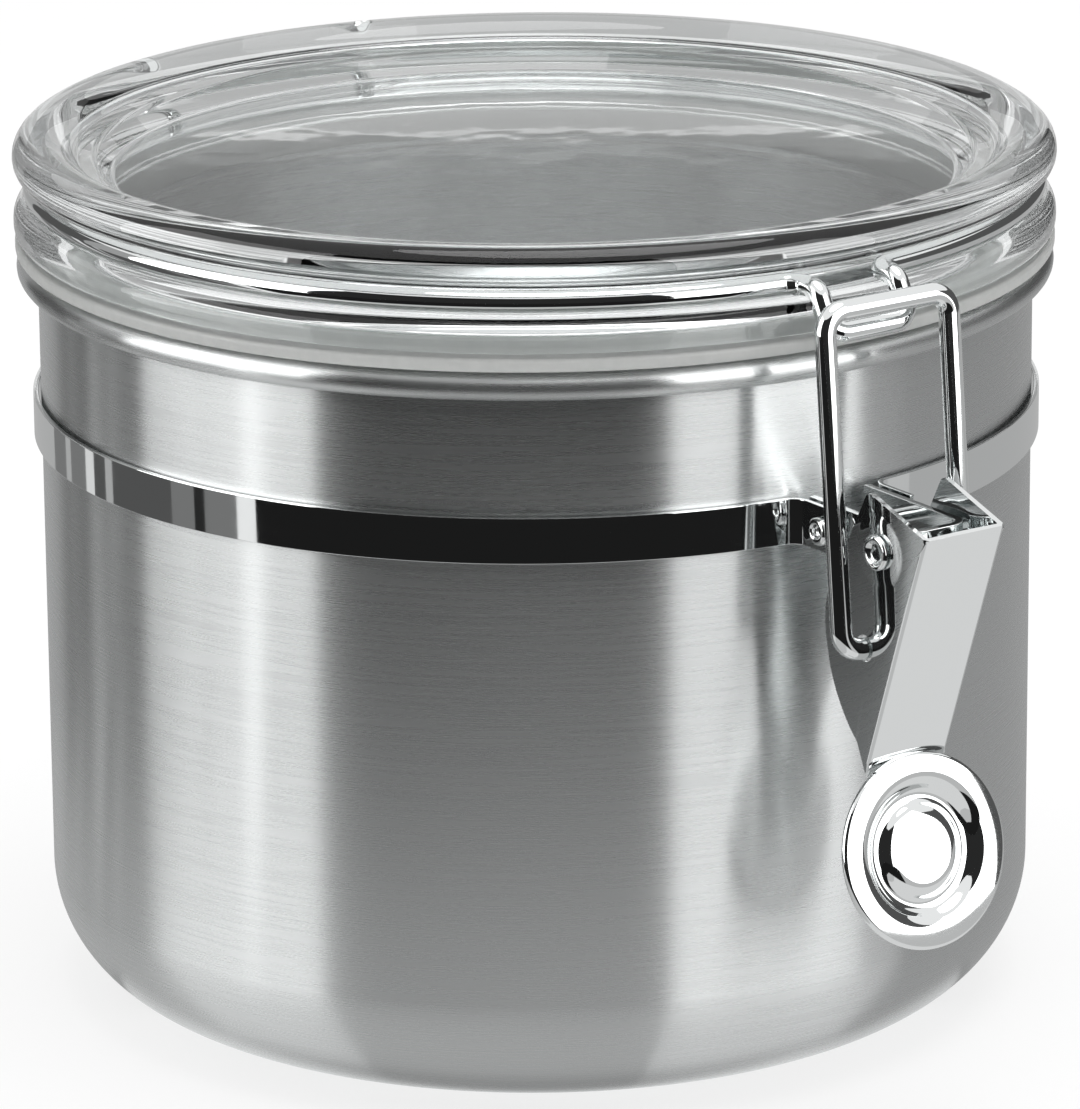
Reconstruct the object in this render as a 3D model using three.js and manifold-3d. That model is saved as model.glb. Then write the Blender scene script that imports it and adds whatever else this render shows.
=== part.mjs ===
// Stainless steel storage canister with a clear lid, held down by a wire and an over-centre lever latch.
// Millimetres, +Z up. The origin is the middle of the base; the latch faces -Y and the lid hinge +Y.

import * as THREE from 'three';
import { mergeVertices } from 'three/addons/utils/BufferGeometryUtils.js';
import Module from 'manifold-3d';

const wasm = await Module();
wasm.setup();

// Gap between pieces that touch or turn on each other
const gap = 0.3;

// Canister body: a deep-drawn can, the edge of its mouth rolled outwards
const bodyRadius = 57.2;
const bodyWall = 0.7;
const baseCornerRadius = 14.7;
const rimRadius = 59.6;
const rimTop = 87.7;
const rimRollEnd = THREE.MathUtils.degToRad(-110);

// Lid: a clear moulded disc, dished in the middle, with a groove round its edge for the wire and a ring wall
// below that plugs the mouth of the can
const lidRadius = 59.8;
const lidUnderside = 89.9;
const lidTop = 101.5;
const lidEdgeRound = 1.2;
const panelUnderside = 94.4;
const panelTop = 96.3;
const dishRadius = 48.4;
const dishRound = 0.4;
const shoulderRadius = 50.4;
const shoulderTop = 98.5;
const beadFootRadius = 53.0;
const beadFootTop = 99.2;
const beadCrestRadius = 57.1;
const plugInner = 49.9;
const plugOuter = 51.6;
const plugLow = 85.4;
const plugEdge = 0.4;
const grooveRadius = 56.0;
const grooveLow = 93.9;
const grooveHigh = 96.9;
const grooveLip = 2.0;

// Gasket: a soft ring with a rib that is pressed up into the lid and a sleeve on the lid's plug
const gasketInner = plugOuter + gap;
const gasketOuter = 59.7;
const gasketEdge = 0.4;
const sleeveOuter = 53.2;
const sleeveLow = 86.2;
const gasketRibInner = 55.2;
const gasketRibOuter = 56.7;
const gasketRibTop = 91.3;

// Round wire of the lid ring: it lies in the lid's groove, with a nose in front and two legs behind
const wireRadius = 1.2;
const wireSides = 10;
const ringRadius = 57.5;
const ringHeight = 95.4;
const ringBend = 2.2;
const ringSteps = 26;
const noseHalfWidth = 5.3;
const noseDropReach = 61.2;
const noseDropBend = 1.1;
const noseReach = 63.6;
const noseHeight = 91.0;
const noseBend = 2.0;

// Lid hinge at the back of the band
const hingeReach = 61.9;
const hingeHeight = 68.7;
const hingeLegOffset = 15.8;
const hingeLegBend = 2.6;
const hingeWireEnd = 4.0;
const barrelRadius = 2.6;
const barrelHalfLength = 11.4;
const hingePlateThickness = 0.8;
const hingePlateHeight = 6.4;
const hingePlateHalfAngle = THREE.MathUtils.degToRad(23);
const hingeNeckHeight = 2.6;
const hingeRivetAngle = THREE.MathUtils.degToRad(20);
const hingeRivetShank = 1.1;
const hingeRivetHead = 1.8;
const hingeRivetHeight = 1.0;

// Clamp band with its two ears and the rivet that draws them together
const bandThickness = 0.6;
const bandHeight = 5.2;
const bandLow = 66.1;
const bandInner = bodyRadius + gap;
const bandOuter = bandInner + bandThickness;
const earOuter = 5.5;
const earInner = earOuter - 0.7;
const earReach = 64.5;
const earBend = 1.1;
const clampReach = 62.4;
const clampHeight = 68.6;
const clampShankRadius = 1.0;
const clampHeadRadius = 1.6;
const clampHeadHeight = 0.8;

// Latch bracket: a bent strap between the ears that carries the lever
const bracketHalfWidth = 4.2;
const bracketThickness = 0.9;
const bracketBack = 58.2;
const bracketFront = 76.3;
const bracketCorner = 2.4;
const bracketLow = bandLow + 0.2;
const bracketHigh = bandLow + bandHeight;

// Lever: a folded channel with a round dished thumb tab, drawn as distance from the axis and height
const leverHalfWidth = 5.4;
const leverSheet = 0.85;
const pivot = new THREE.Vector2(72.4, 68.6);
const pivotShankRadius = 1.5;
const pivotHeadRadius = 2.0;
const pivotHeadHeight = 0.55;
const pivotSinkRadius = 1.0;
const pivotSinkDepth = 0.45;
const leverFrontTop = new THREE.Vector2(80.6, 71.7);
const leverFrontFoot = new THREE.Vector2(70.3, 42.5);
const leverBackTop = new THREE.Vector2(70.3, 74.9);
const leverBackKnee = new THREE.Vector2(63.2, 61.8);
const leverBackWaist = new THREE.Vector2(62.6, 58.5);
const leverBackLow = new THREE.Vector2(63.5, 54.6);
const leverBackSweep = new THREE.Vector2(64.7, 49.5);
const leverBackFoot = new THREE.Vector2(68.6, 46.2);

// Thumb tab: a round disc with a rolled rim, a sunk ring and a flat middle
const tabCentre = new THREE.Vector2(73.8, 33.9);
const tabTilt = THREE.MathUtils.degToRad(13.8);
const tabRadius = 10.9;
const tabSheet = 1.0;
const tabRimRise = 0.5;
const tabRimInner = 8.8;
const tabRingOuter = 7.4;
const tabRingInner = 5.2;
const tabRingDepth = 1.1;
const tabMiddleRadius = 4.2;

// Wire loop between the lever and the nose of the lid ring
const loopPivot = new THREE.Vector2(69.9, 57.1);
const loopTop = new THREE.Vector2(66.4, 94.3);
const loopHalfWidth = 8.4;
const loopEnd = 3.9;
const loopBend = 2.4;

const roundSegments = 56;
const X = new THREE.Vector3(1, 0, 0);
const Y = new THREE.Vector3(0, 1, 0);
const Z = new THREE.Vector3(0, 0, 1);

// Closed geometry as a solid that can be joined and cut
function toSolid(geometry) {
  const bare = geometry.clone();
  bare.deleteAttribute('normal');
  bare.deleteAttribute('uv');
  const merged = mergeVertices(bare, 1e-4);
  const corners = merged.index.array;
  const kept = [];
  for (let i = 0; i < corners.length; i += 3) {
    const [a, b, c] = [corners[i], corners[i + 1], corners[i + 2]];
    if (a !== b && b !== c && c !== a) kept.push(a, b, c);
  }
  const vertProperties = new Float32Array(merged.attributes.position.array);
  const triVerts = new Uint32Array(kept);
  return new wasm.Manifold(new wasm.Mesh({ numProp: 3, vertProperties, triVerts }));
}

function toGeometry(solid) {
  const mesh = solid.getMesh();
  const geometry = new THREE.BufferGeometry();
  geometry.setAttribute('position', new THREE.BufferAttribute(new Float32Array(mesh.vertProperties), 3));
  geometry.setIndex(new THREE.BufferAttribute(new Uint32Array(mesh.triVerts), 1));
  geometry.computeVertexNormals();
  return geometry;
}

// Profile of radius and height turned about the vertical axis
function turned(profile, curveSteps = 3, segments = roundSegments) {
  return new THREE.LatheGeometry(profile.getPoints(curveSteps), segments).rotateX(Math.PI / 2);
}

// Profile of radius and length turned about an axis along X, through a point of the YZ plane
function turnedAcross(points, y, z, segments = 20) {
  const profile = points.map(([radius, along]) => new THREE.Vector2(radius, along));
  return new THREE.LatheGeometry(profile, segments).rotateZ(-Math.PI / 2).translate(0, y, z);
}

// Round bar along X, centred on the YZ point, for pins and for cutting their holes
function barAcross(radius, halfLength, y, z) {
  return turnedAcross([[0, -halfLength], [radius, -halfLength], [radius, halfLength], [0, halfLength]], y, z);
}

// Outline in plan, raised from one height to another
function raised(outline, low, high, curveSegments = 12) {
  const options = { depth: high - low, bevelEnabled: false, curveSegments };
  return new THREE.ExtrudeGeometry(outline, options).translate(0, 0, low);
}

// Side outline of the latch, given as reach from the axis and height, spread evenly about the middle plane
const latchSide = new THREE.Matrix4().makeBasis(Y.clone().negate(), Z, X.clone().negate());
function acrossLatch(outline, halfWidth) {
  const options = { depth: 2 * halfWidth, bevelEnabled: false, curveSegments: 6 };
  return new THREE.ExtrudeGeometry(outline, options).translate(0, 0, -halfWidth).applyMatrix4(latchSide);
}

// Level arc of the lid ring, by angle from +X
class RingArc extends THREE.Curve {
  constructor(startAngle, endAngle) {
    super();
    this.startAngle = startAngle;
    this.endAngle = endAngle;
  }
  getPoint(t) {
    const angle = THREE.MathUtils.lerp(this.startAngle, this.endAngle, t);
    return new THREE.Vector3(ringRadius * Math.cos(angle), ringRadius * Math.sin(angle), ringHeight);
  }
}

// Bent wire as straight runs, bends and arcs, each with its own number of steps
class WireRoute extends THREE.Curve {
  constructor() {
    super();
    this.stretches = [];
  }
  stretch(curve, steps) {
    for (let i = 0; i < steps; i += 1) this.stretches.push({ curve, from: i / steps, to: (i + 1) / steps });
    return this;
  }
  run(start, end) {
    return this.stretch(new THREE.LineCurve3(start, end), 1);
  }
  bend(start, corner, end) {
    return this.stretch(new THREE.QuadraticBezierCurve3(start, corner, end), 6);
  }
  getPoint(t) {
    const place = Math.min(t * this.stretches.length, this.stretches.length - 1e-9);
    const { curve, from, to } = this.stretches[Math.floor(place)];
    return curve.getPoint(THREE.MathUtils.lerp(from, to, place % 1));
  }
  getUtoTmapping(u) {
    return u;
  }
  wire() {
    const round = new THREE.Shape();
    for (let i = 0; i < wireSides; i += 1) {
      const angle = (2 * Math.PI * i) / wireSides;
      const corner = [wireRadius * Math.cos(angle), wireRadius * Math.sin(angle)];
      if (i === 0) round.moveTo(...corner);
      else round.lineTo(...corner);
    }
    return new THREE.ExtrudeGeometry(round, { steps: this.stretches.length, extrudePath: this });
  }
}

// Route through corner points, each rounded by a bend of its own length
function throughCorners(route, points, bends) {
  let start = points[0];
  for (let i = 1; i < points.length - 1; i += 1) {
    const corner = points[i];
    const length = bends[i - 1];
    const before = corner.clone().lerp(points[i - 1], length / corner.distanceTo(points[i - 1]));
    const after = corner.clone().lerp(points[i + 1], length / corner.distanceTo(points[i + 1]));
    route.run(start, before);
    route.bend(before, corner, after);
    start = after;
  }
  return route.run(start, points[points.length - 1]);
}

// The can: outside up from the base, along the roll and back over it, and down the inside
function canBody() {
  const flat = bodyRadius - baseCornerRadius;
  const inside = bodyRadius - bodyWall;
  const roll = 0.5 * (rimRadius - inside);
  const rollMiddle = rimRadius - roll;
  const rollHeight = rimTop - roll;
  const profile = new THREE.Path()
    .moveTo(0, 0)
    .lineTo(flat, 0)
    .absarc(flat, baseCornerRadius, baseCornerRadius, -Math.PI / 2, 0, false)
    .lineTo(bodyRadius, rollHeight)
    .absarc(rollMiddle, rollHeight, roll - bodyWall, Math.PI, 0, true)
    .absarc(rollMiddle, rollHeight, roll - bodyWall, 0, rimRollEnd, true)
    .absarc(rollMiddle, rollHeight, roll, rimRollEnd, 0, false)
    .absarc(rollMiddle, rollHeight, roll, 0, Math.PI, false)
    .lineTo(inside, baseCornerRadius)
    .absarc(flat, baseCornerRadius, baseCornerRadius - bodyWall, 0, -Math.PI / 2, true)
    .lineTo(0, bodyWall);
  return turned(profile);
}

// The lid: underside with its plug and the seat for the gasket, the flange, the groove, the bead and the dish
function lidCover() {
  const ribGrooveTop = gasketRibTop + gap;
  const profile = new THREE.Path()
    .moveTo(0, panelUnderside)
    .lineTo(plugInner, panelUnderside)
    .lineTo(plugInner, plugLow + plugEdge)
    .lineTo(plugInner + plugEdge, plugLow)
    .lineTo(plugOuter - plugEdge, plugLow)
    .lineTo(plugOuter, plugLow + plugEdge)
    .lineTo(plugOuter, lidUnderside)
    .lineTo(gasketRibInner - gap, lidUnderside)
    .lineTo(gasketRibInner - gap, ribGrooveTop)
    .lineTo(gasketRibOuter + gap, ribGrooveTop)
    .lineTo(gasketRibOuter + gap, lidUnderside)
    .lineTo(lidRadius - lidEdgeRound, lidUnderside)
    .quadraticCurveTo(lidRadius, lidUnderside, lidRadius, lidUnderside + lidEdgeRound)
    .lineTo(lidRadius, grooveLow - grooveLip)
    .quadraticCurveTo(lidRadius, grooveLow, lidRadius - grooveLip, grooveLow)
    .lineTo(grooveRadius, grooveLow)
    .lineTo(grooveRadius, grooveHigh)
    .lineTo(lidRadius - grooveLip, grooveHigh)
    .quadraticCurveTo(lidRadius, grooveHigh, lidRadius, 0.5 * (grooveHigh + lidTop))
    .quadraticCurveTo(lidRadius, lidTop, beadCrestRadius, lidTop)
    .quadraticCurveTo(beadFootRadius + grooveLip, lidTop, beadFootRadius, beadFootTop)
    .lineTo(shoulderRadius, shoulderTop)
    .lineTo(dishRadius + dishRound, panelTop + dishRound)
    .lineTo(dishRadius - dishRound, panelTop)
    .lineTo(0, panelTop);
  return turned(profile);
}

// Soft ring between the lid and the rim, with a rib pressed up into the lid and a sleeve on the plug
function lidGasket() {
  const low = rimTop + gap;
  const high = lidUnderside - gap;
  const profile = new THREE.Path()
    .moveTo(gasketInner, sleeveLow)
    .lineTo(sleeveOuter, sleeveLow)
    .lineTo(sleeveOuter, low)
    .lineTo(gasketOuter - gasketEdge, low)
    .lineTo(gasketOuter, low + gasketEdge)
    .lineTo(gasketOuter, high - gasketEdge)
    .lineTo(gasketOuter - gasketEdge, high)
    .lineTo(gasketRibOuter, high)
    .lineTo(gasketRibOuter, gasketRibTop)
    .lineTo(gasketRibInner, gasketRibTop)
    .lineTo(gasketRibInner, high)
    .lineTo(gasketInner, high)
    .lineTo(gasketInner, sleeveLow);
  return turned(profile);
}

// One wire: hinge end, leg, half the groove, the nose, the other half, leg and hinge end
function lidRingWire() {
  const mirrored = (points) => points.map((p) => new THREE.Vector3(-p.x, p.y, p.z)).reverse();
  const onRing = (x, side) => new THREE.Vector3(x, side * Math.sqrt(ringRadius ** 2 - x ** 2), ringHeight);
  const bendAngle = ringBend / ringRadius;
  const backAngle = Math.acos(hingeLegOffset / ringRadius);
  const noseAngle = -Math.acos(noseHalfWidth / ringRadius);
  const backJoin = onRing(hingeLegOffset, 1);
  const noseJoin = onRing(noseHalfWidth, -1);
  const hinge = [
    new THREE.Vector3(hingeWireEnd, hingeReach, hingeHeight),
    new THREE.Vector3(hingeLegOffset, hingeReach, hingeHeight),
    new THREE.Vector3(hingeLegOffset, hingeReach, ringHeight),
    new THREE.Vector3(hingeLegOffset, backJoin.y + ringBend, ringHeight),
  ];
  const noseSide = [
    new THREE.Vector3(noseHalfWidth, noseJoin.y - ringBend, ringHeight),
    new THREE.Vector3(noseHalfWidth, -noseDropReach, ringHeight),
    new THREE.Vector3(noseHalfWidth, -noseReach, noseHeight),
  ];
  const nose = [...noseSide, ...mirrored(noseSide)];
  const rightArc = new RingArc(backAngle - bendAngle, noseAngle + bendAngle);
  const leftArc = new RingArc(Math.PI - noseAngle - bendAngle, Math.PI - backAngle + bendAngle);
  const [leftNoseJoin, leftBackJoin] = mirrored([backJoin, noseJoin]);
  const leftHinge = mirrored(hinge);
  const hingeBends = [hingeLegBend, hingeLegBend];
  const route = new WireRoute();
  throughCorners(route, hinge, hingeBends);
  route.bend(hinge[3], backJoin, rightArc.getPoint(0));
  route.stretch(rightArc, ringSteps);
  route.bend(rightArc.getPoint(1), noseJoin, nose[0]);
  throughCorners(route, nose, [noseDropBend, noseBend, noseBend, noseDropBend]);
  route.bend(nose[5], leftNoseJoin, leftArc.getPoint(0));
  route.stretch(leftArc, ringSteps);
  route.bend(leftArc.getPoint(1), leftBackJoin, leftHinge[0]);
  throughCorners(route, leftHinge, hingeBends);
  return route.wire();
}

// Strap round the can whose ends turn outwards as ears at the latch
function clampBand() {
  const onCircle = (radius, x) => -Math.sqrt(radius ** 2 - x ** 2);
  const startX = earOuter + earBend;
  const startY = onCircle(bandOuter, startX);
  const cornerY = onCircle(bandOuter, earOuter);
  const outerAngle = Math.atan2(startY, startX);
  const innerAngle = Math.atan2(onCircle(bandInner, earInner), earInner);
  const outline = new THREE.Shape()
    .moveTo(earOuter, -earReach)
    .lineTo(earOuter, cornerY - earBend)
    .quadraticCurveTo(earOuter, cornerY, startX, startY)
    .absarc(0, 0, bandOuter, outerAngle, Math.PI - outerAngle, false)
    .quadraticCurveTo(-earOuter, cornerY, -earOuter, cornerY - earBend)
    .lineTo(-earOuter, -earReach)
    .lineTo(-earInner, -earReach)
    .lineTo(-earInner, onCircle(bandInner, earInner))
    .absarc(0, 0, bandInner, Math.PI - innerAngle, innerAngle, true)
    .lineTo(earInner, -earReach);
  const strap = toSolid(raised(outline, bandLow, bandLow + bandHeight, roundSegments / 2));
  const rivetHoles = [1, -1].map((side) => toSolid(hingeRivet(side, gap)));
  return toGeometry(strap.subtract(clampHole()).subtract(rivetHoles[0]).subtract(rivetHoles[1]));
}

// Hole through the ears and the bracket for the clamp rivet
function clampHole() {
  return toSolid(barAcross(clampShankRadius + gap, 2 * earOuter, -clampReach, clampHeight));
}

// Hole through the bracket and the lever for the pivot pin
function pivotHole() {
  return toSolid(barAcross(pivotShankRadius + gap, 2 * leverHalfWidth, -pivot.x, pivot.y));
}

// Strap bent to a U in plan, its closed end round the lever's pivot pin
function latchBracket() {
  const bentStrap = (halfWidth, front, back, corner) => new THREE.Shape()
    .moveTo(-halfWidth, -back)
    .lineTo(-halfWidth, corner - front)
    .quadraticCurveTo(-halfWidth, -front, corner - halfWidth, -front)
    .lineTo(halfWidth - corner, -front)
    .quadraticCurveTo(halfWidth, -front, halfWidth, corner - front)
    .lineTo(halfWidth, -back);
  const outside = bentStrap(bracketHalfWidth, bracketFront, bracketBack, bracketCorner);
  const inside = bentStrap(
    bracketHalfWidth - bracketThickness,
    bracketFront - bracketThickness,
    bracketBack - 1,
    bracketCorner - bracketThickness,
  );
  const block = toSolid(raised(outside, bracketLow, bracketHigh, 4));
  const hollow = toSolid(raised(inside, bracketLow - 1, bracketHigh + 1, 4));
  return toGeometry(block.subtract(hollow).subtract(clampHole()).subtract(pivotHole()));
}

// Round rivet across the latch: a shank with a flat-domed head outside each side
function crossRivet(shankRadius, headRadius, headStart, headHeight, y, z) {
  const headEnd = headStart + headHeight;
  const edge = 0.5 * headHeight;
  const half = [
    [shankRadius, headStart],
    [headRadius, headStart],
    [headRadius, headEnd - edge],
    [headRadius - edge, headEnd],
    [0, headEnd],
  ];
  const otherHalf = half.map(([radius, along]) => [radius, -along]).reverse();
  return turnedAcross([...otherHalf, ...half], y, z);
}

function clampRivet() {
  const headStart = earOuter + gap;
  return crossRivet(clampShankRadius, clampHeadRadius, headStart, clampHeadHeight, -clampReach, clampHeight);
}

// Tubular pivot rivet: each head has a small sunk middle
function leverPivotPin() {
  const headStart = leverHalfWidth + gap;
  const headEnd = headStart + pivotHeadHeight;
  const rivet = crossRivet(pivotShankRadius, pivotHeadRadius, headStart, pivotHeadHeight, -pivot.x, pivot.y);
  const sunkLength = 2 * pivotSinkDepth;
  const sink = (side) => toSolid(barAcross(pivotSinkRadius, sunkLength, -pivot.x, pivot.y)
    .translate(side * (headEnd - pivotSinkDepth + sunkLength), 0, 0));
  return toGeometry(toSolid(rivet).subtract(sink(1)).subtract(sink(-1)));
}

// Rivet that holds the hinge plate on the band: a domed head outside and a shank through both
function hingeRivet(side, extra = 0) {
  const shankRadius = hingeRivetShank + extra;
  const headRadius = hingeRivetHead + extra;
  const shankStart = bandInner - extra;
  const headStart = bandOuter + gap + hingePlateThickness + gap - extra;
  const headHeight = hingeRivetHeight + extra;
  const profile = [
    [0, shankStart],
    [shankRadius, shankStart],
    [shankRadius, headStart],
    [headRadius, headStart],
    [0.8 * headRadius, headStart + 0.7 * headHeight],
    [0, headStart + headHeight],
  ].map(([radius, along]) => new THREE.Vector2(radius, along));
  return new THREE.LatheGeometry(profile, 16)
    .rotateZ(-side * hingeRivetAngle)
    .translate(0, 0, hingeHeight);
}

// Curved plate riveted to the back of the band, with a barrel that the wire ends turn in
function hingeBracket() {
  const inner = bandOuter + gap;
  const outer = inner + hingePlateThickness;
  const fromAngle = Math.PI / 2 - hingePlateHalfAngle;
  const toAngle = Math.PI / 2 + hingePlateHalfAngle;
  const plateOutline = new THREE.Shape()
    .absarc(0, 0, outer, fromAngle, toAngle, false)
    .absarc(0, 0, inner, toAngle, fromAngle, true);
  const plateLow = hingeHeight - hingePlateHeight / 2;
  const plate = toSolid(raised(plateOutline, plateLow, plateLow + hingePlateHeight, 6));
  const neckInner = 0.5 * (inner + outer);
  const neckAngle = Math.asin(barrelHalfLength / neckInner);
  const neckOutline = new THREE.Shape()
    .absarc(0, 0, neckInner, Math.PI / 2 + neckAngle, Math.PI / 2 - neckAngle, true)
    .lineTo(barrelHalfLength, hingeReach)
    .lineTo(-barrelHalfLength, hingeReach);
  const neckLow = hingeHeight - hingeNeckHeight / 2;
  const neck = toSolid(raised(neckOutline, neckLow, neckLow + hingeNeckHeight, 6));
  const barrel = toSolid(barAcross(barrelRadius, barrelHalfLength, hingeReach, hingeHeight));
  const bore = toSolid(barAcross(wireRadius + gap, 2 * barrelHalfLength, hingeReach, hingeHeight));
  const rivetHoles = [1, -1].map((side) => toSolid(hingeRivet(side, gap)));
  const joined = plate.add(neck).add(barrel).subtract(bore);
  return toGeometry(joined.subtract(rivetHoles[0]).subtract(rivetHoles[1]));
}

// Round tab with a rolled rim, a sunk ring and a raised middle, leaning out at its foot
function thumbTab() {
  const ringFloor = -tabRingDepth;
  const profile = new THREE.Path()
    .moveTo(0, -tabSheet)
    .lineTo(tabMiddleRadius - 0.3 * tabSheet, -tabSheet)
    .lineTo(tabRingInner - 0.3 * tabSheet, ringFloor - tabSheet)
    .lineTo(tabRingOuter, ringFloor - tabSheet)
    .lineTo(tabRimInner, -tabSheet)
    .lineTo(tabRadius - tabRimRise, -tabSheet)
    .lineTo(tabRadius, -tabRimRise)
    .quadraticCurveTo(tabRadius, tabRimRise, tabRadius - 2 * tabRimRise, tabRimRise)
    .quadraticCurveTo(tabRimInner, tabRimRise, tabRingOuter, ringFloor)
    .lineTo(tabRingInner, ringFloor)
    .lineTo(tabMiddleRadius, 0)
    .lineTo(0, 0);
  return turned(profile, 3, 32)
    .rotateX(Math.PI / 2 - tabTilt)
    .translate(0, -tabCentre.x, tabCentre.y);
}

// Folded channel, open at the back and top, running into the thumb tab
function latchLever() {
  const side = new THREE.Shape()
    .moveTo(leverFrontFoot.x, leverFrontFoot.y)
    .lineTo(leverFrontTop.x, leverFrontTop.y)
    .lineTo(leverBackTop.x, leverBackTop.y)
    .lineTo(leverBackKnee.x, leverBackKnee.y)
    .quadraticCurveTo(leverBackWaist.x, leverBackWaist.y, leverBackLow.x, leverBackLow.y)
    .quadraticCurveTo(leverBackSweep.x, leverBackSweep.y, leverBackFoot.x, leverBackFoot.y);
  const along = leverFrontTop.clone().sub(leverFrontFoot).normalize();
  const inwards = new THREE.Vector2(-along.y, along.x).multiplyScalar(leverSheet);
  const throatFoot = leverFrontFoot.clone().add(inwards).addScaledVector(along, -leverHalfWidth);
  const throatTop = leverFrontTop.clone().add(inwards).addScaledVector(along, leverHalfWidth);
  const throat = new THREE.Shape([
    throatFoot,
    throatTop,
    new THREE.Vector2(bodyRadius, throatTop.y),
    new THREE.Vector2(bodyRadius, throatFoot.y),
  ]);
  const channel = toSolid(acrossLatch(side, leverHalfWidth))
    .subtract(toSolid(acrossLatch(throat, leverHalfWidth - leverSheet)));
  const loopHole = toSolid(barAcross(wireRadius + gap, 2 * leverHalfWidth, -loopPivot.x, loopPivot.y));
  return toGeometry(channel.subtract(pivotHole()).subtract(loopHole).add(toSolid(thumbTab())));
}

// Wire bent to a tall loop: its ends turn in through the lever, its top bar hooks over the nose
function latchLoop() {
  const place = (x, point) => new THREE.Vector3(x, -point.x, point.y);
  const corners = [
    place(-loopEnd, loopPivot),
    place(-loopHalfWidth, loopPivot),
    place(-loopHalfWidth, loopTop),
    place(loopHalfWidth, loopTop),
    place(loopHalfWidth, loopPivot),
    place(loopEnd, loopPivot),
  ];
  const bends = [loopBend, loopBend, loopBend, loopBend];
  return throughCorners(new WireRoute(), corners, bends).wire();
}

const canister = new THREE.Group();

function addPiece(name, geometry, look) {
  const piece = new THREE.Mesh(geometry, new THREE.MeshStandardMaterial(look));
  piece.name = name;
  canister.add(piece);
}

const brushedSteel = { color: 0xb4b6b5, roughness: 0.32, metalness: 1 };
const chromedSteel = { color: 0xd6d9da, roughness: 0.08, metalness: 1 };
const clearAcrylic = { color: 0xe2e6e5, roughness: 0.05, metalness: 0, transparent: true, opacity: 0.4 };
const paleSilicone = { color: 0xdfe1de, roughness: 0.55, metalness: 0 };

addPiece('can_body', canBody(), brushedSteel);
addPiece('clamp_band', clampBand(), chromedSteel);
addPiece('latch_bracket', latchBracket(), chromedSteel);
addPiece('clamp_rivet', clampRivet(), chromedSteel);
addPiece('hinge_bracket', hingeBracket(), chromedSteel);
addPiece('hinge_rivet_left', hingeRivet(-1), chromedSteel);
addPiece('hinge_rivet_right', hingeRivet(1), chromedSteel);
addPiece('lid_cover', lidCover(), clearAcrylic);
addPiece('lid_gasket', lidGasket(), paleSilicone);
addPiece('lid_ring_wire', lidRingWire(), chromedSteel);
addPiece('latch_lever', latchLever(), chromedSteel);
addPiece('lever_pivot_pin', leverPivotPin(), chromedSteel);
addPiece('latch_loop', latchLoop(), chromedSteel);

export default canister;
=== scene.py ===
# Stainless steel storage canister with a clear clamp-down lid, a wire bail and a lever latch.
# Meshes are drawn in millimetres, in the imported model's frame, and scaled to metres when they are done.

import math

import bmesh
import bpy
from mathutils import Matrix, Vector


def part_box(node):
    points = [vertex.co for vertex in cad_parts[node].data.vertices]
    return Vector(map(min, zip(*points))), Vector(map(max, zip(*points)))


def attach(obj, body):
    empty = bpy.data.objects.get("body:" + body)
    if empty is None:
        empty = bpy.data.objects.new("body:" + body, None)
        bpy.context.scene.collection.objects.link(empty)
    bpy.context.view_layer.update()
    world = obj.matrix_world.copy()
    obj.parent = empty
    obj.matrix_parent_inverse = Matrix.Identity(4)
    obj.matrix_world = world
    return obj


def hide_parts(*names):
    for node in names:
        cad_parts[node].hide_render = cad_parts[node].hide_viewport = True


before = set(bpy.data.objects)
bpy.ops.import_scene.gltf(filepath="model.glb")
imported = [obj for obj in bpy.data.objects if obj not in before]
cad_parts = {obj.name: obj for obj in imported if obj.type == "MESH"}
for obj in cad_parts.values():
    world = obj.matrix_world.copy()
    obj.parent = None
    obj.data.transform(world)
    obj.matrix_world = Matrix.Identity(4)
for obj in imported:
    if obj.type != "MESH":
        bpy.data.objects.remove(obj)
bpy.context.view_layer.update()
scene = bpy.context.scene


# Can: one sheet of stainless steel, deep drawn to a rounded base, the edge of its mouth rolled outwards.
# The outside is brushed round and round, so the grain runs level; the base has a shallow stamped pad.
MM = 0.001
BODY_RADIUS = 57.2
BODY_WALL = 0.7
BASE_CORNER = 14.7
RIM_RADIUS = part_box("can_body")[1].x / MM
RIM_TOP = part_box("can_body")[1].z / MM
ROLL_END = 57.7
PAD_RADIUS = 33.0
PAD_SLOPE = 2.5
PAD_LIFT = 0.5
PAD_ROUND = 0.8
TURN_STEPS = 240
ROUND_STEPS = 4
ROUND_STEPS_PER_MM = 1.5
SAME_PLACE = 1e-3
CREASE = math.radians(38)


def draw_outline(points, across=(1, 0, 0), up=(0, 0, 1), closed=False):
    """Wire outline through (across, up, rounding) points; rounding is the length of a corner's tangents."""
    bm = bmesh.new()
    corners = [bm.verts.new(a * Vector(across) + b * Vector(up)) for a, b, _ in points]
    for start, end in zip(corners, corners[1:] + corners[:1] * closed):
        bm.edges.new((start, end))
    for corner, (_, _, rounding) in zip(corners, points):
        if rounding:
            bmesh.ops.bevel(bm, geom=[corner], offset=rounding, offset_type="OFFSET", affect="VERTICES",
                            segments=ROUND_STEPS + int(ROUND_STEPS_PER_MM * rounding), profile=0.5,
                            material=-1)
    return bm


def turn(bm, steps=TURN_STEPS):
    """Turns an outline in the XZ plane about Z, as on a spinning lathe."""
    bmesh.ops.spin(bm, geom=bm.verts[:] + bm.edges[:], cent=(0, 0, 0), axis=(0, 0, 1),
                   angle=math.tau, steps=steps, use_merge=True)
    bmesh.ops.remove_doubles(bm, verts=bm.verts, dist=SAME_PLACE)
    bmesh.ops.recalc_face_normals(bm, faces=bm.faces)
    return bm


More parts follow.
